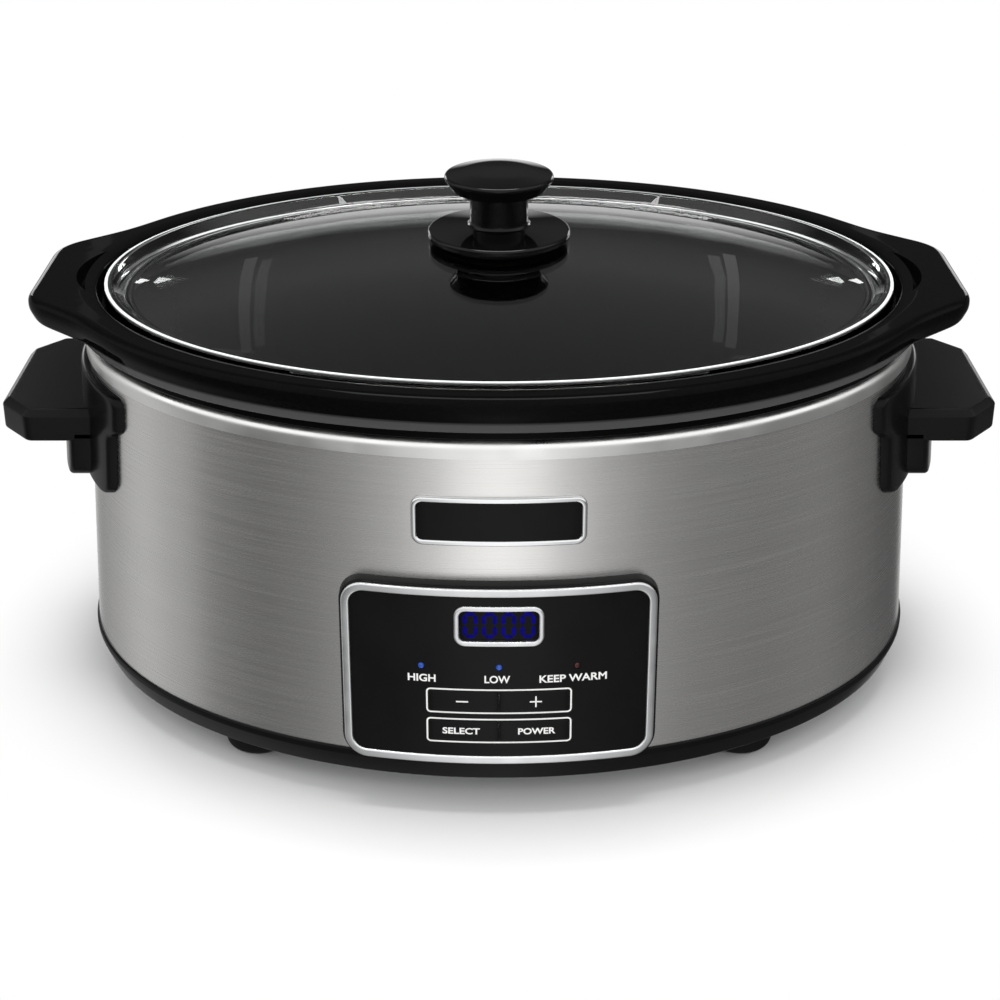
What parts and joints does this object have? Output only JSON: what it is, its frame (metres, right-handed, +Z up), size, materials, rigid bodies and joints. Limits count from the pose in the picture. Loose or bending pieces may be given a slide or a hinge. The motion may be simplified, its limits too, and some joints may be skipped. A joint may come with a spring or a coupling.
{
  "type": "slow cooker",
  "caption": "Oval digital slow cooker: steel-wrapped heating base with side handles and push-key panel, lift-out black stoneware crock and domed glass lid with knob.",
  "frame": {"origin": "on the floor, under the middle of the feet's box", "axes": "+Z up, -Y out of the control panel, +X along the oval towards the right-hand handle"},
  "size_m": [0.388, 0.2671, 0.2047],
  "materials": {
    "brushed_band": "brushed round the oval, clear coated",
    "polished_bead": "polished rolled bead",
    "black_plastic": "moulded, fine satin",
    "bare_sheet": "plain galvanised sheet",
    "foot_rubber": "matt",
    "zinc_screw": "zinc plated",
    "well_sheet": "aluminised sheet",
    "heater_wrap": "woven glass sleeve round the heating wire",
    "circuit_board": "solder resist",
    "black_glaze": "deep gloss glaze",
    "clear_glass": "tempered, polished edge",
    "gloss_phenolic": "polished phenolic",
    "panel_gloss": "high gloss",
    "chrome_trim": "bright plated",
    "display_smoke": "smoked lens",
    "lamp_lens": "tinted lens",
    "handle_plastic": "satin phenolic"
  },
  "bodies": {
    "base": {"outer_band": "brushed_band", "top_bead": "polished_bead", "base_ring": "black_plastic", "bottom_cover": "bare_sheet", "foot_front_left": "foot_rubber", "foot_front_right": "foot_rubber", "foot_back_left": "foot_rubber", "foot_back_right": "foot_rubber", "foot_screws": "zinc_screw", "cover_screws": "zinc_screw", "board_standoffs": "zinc_screw", "tie_bolt": "zinc_screw", "tie_nut": "zinc_screw", "heating_well": "well_sheet", "heater_band": "heater_wrap", "heater_clips": "zinc_screw", "heat_shield": "well_sheet", "temperature_sensor": "bare_sheet", "thermal_fuse": "bare_sheet", "sensor_strap": "bare_sheet", "fuse_strap": "bare_sheet", "power_board": "circuit_board", "relay": "black_plastic", "terminal_block": "black_plastic", "cord_gland": "black_plastic", "panel_housing": "panel_gloss", "panel_bezel": "chrome_trim", "display_frame": "chrome_trim", "display_window": "display_smoke", "light_high": "lamp_lens", "light_low": "lamp_lens", "light_warm": "lamp_lens", "control_board": "circuit_board", "display_module": "black_plastic", "key_switches": "black_plastic", "board_posts": "panel_gloss", "badge_frame": "chrome_trim", "badge_plate": "panel_gloss", "handle_left": "handle_plastic", "handle_right": "handle_plastic", "handle_pad_left": "handle_plastic", "handle_pad_right": "handle_plastic", "handle_screws": "zinc_screw"},
    "crock_body": {"crock": "black_glaze"},
    "lid_body": {"lid_glass": "clear_glass", "knob_washer": "foot_rubber", "lid_knob": "gloss_phenolic", "knob_screw": "zinc_screw"},
    "key_minus_body": {"key_minus": "panel_gloss"},
    "key_plus_body": {"key_plus": "panel_gloss"},
    "key_select_body": {"key_select": "panel_gloss"},
    "key_power_body": {"key_power": "panel_gloss"}
  },
  "joints": [
    {"name": "crock_lift", "type": "slide", "parent": "base", "child": "crock_body", "axis": [0, 0, 1], "range_m": [0, 0.125]},
    {"name": "lid_lift", "type": "slide", "parent": "crock_body", "child": "lid_body", "axis": [0, 0, 1], "range_m": [0, 0.2]},
    {"name": "press_minus", "type": "slide", "parent": "base", "child": "key_minus_body", "axis": [0, 0.9983, -0.0578], "range_m": [0, 0.0006], "stiffness_N_per_m": 2500},
    {"name": "press_plus", "type": "slide", "parent": "base", "child": "key_plus_body", "axis": [0, 0.9983, -0.0578], "range_m": [0, 0.0006], "stiffness_N_per_m": 2500},
    {"name": "press_select", "type": "slide", "parent": "base", "child": "key_select_body", "axis": [0, 0.9983, -0.0578], "range_m": [0, 0.0006], "stiffness_N_per_m": 2500},
    {"name": "press_power", "type": "slide", "parent": "base", "child": "key_power_body", "axis": [0, 0.9983, -0.0578], "range_m": [0, 0.0006], "stiffness_N_per_m": 2500}
  ]
}
